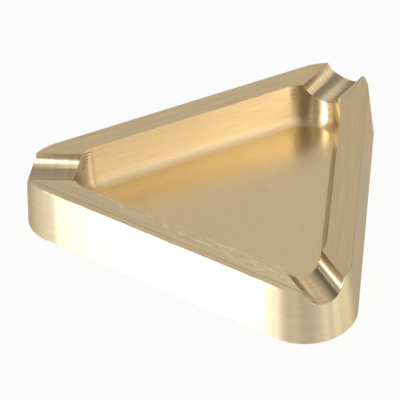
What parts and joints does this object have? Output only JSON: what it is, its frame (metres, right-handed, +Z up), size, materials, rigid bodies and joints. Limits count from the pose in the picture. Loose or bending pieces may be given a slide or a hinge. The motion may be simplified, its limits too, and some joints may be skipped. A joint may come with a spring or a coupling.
{
  "type": "ashtray",
  "caption": "Triangular ashtray of solid satin brass with rounded corners, a filleted pocket and a round-bottomed cigarette rest through each corner, standing on rubber pads.",
  "frame": {"origin": "on the tray's centre axis, on the surface that its foot pads stand on", "axes": "+Z up through the pocket's opening, -Y out of the front side, +Y to the back corner, +X to the right along the front side"},
  "size_m": [0.11, 0.0991, 0.0181],
  "materials": {
    "satin_brass": "satin",
    "pad_rubber": "matte",
    "adhesive_film": "matte"
  },
  "bodies": {
    "root": {"tray_body": "satin_brass", "foot_pad_right": "pad_rubber", "foot_pad_back": "pad_rubber", "foot_pad_left": "pad_rubber", "pad_adhesive_right": "adhesive_film", "pad_adhesive_back": "adhesive_film", "pad_adhesive_left": "adhesive_film"}
  },
  "joints": []
}
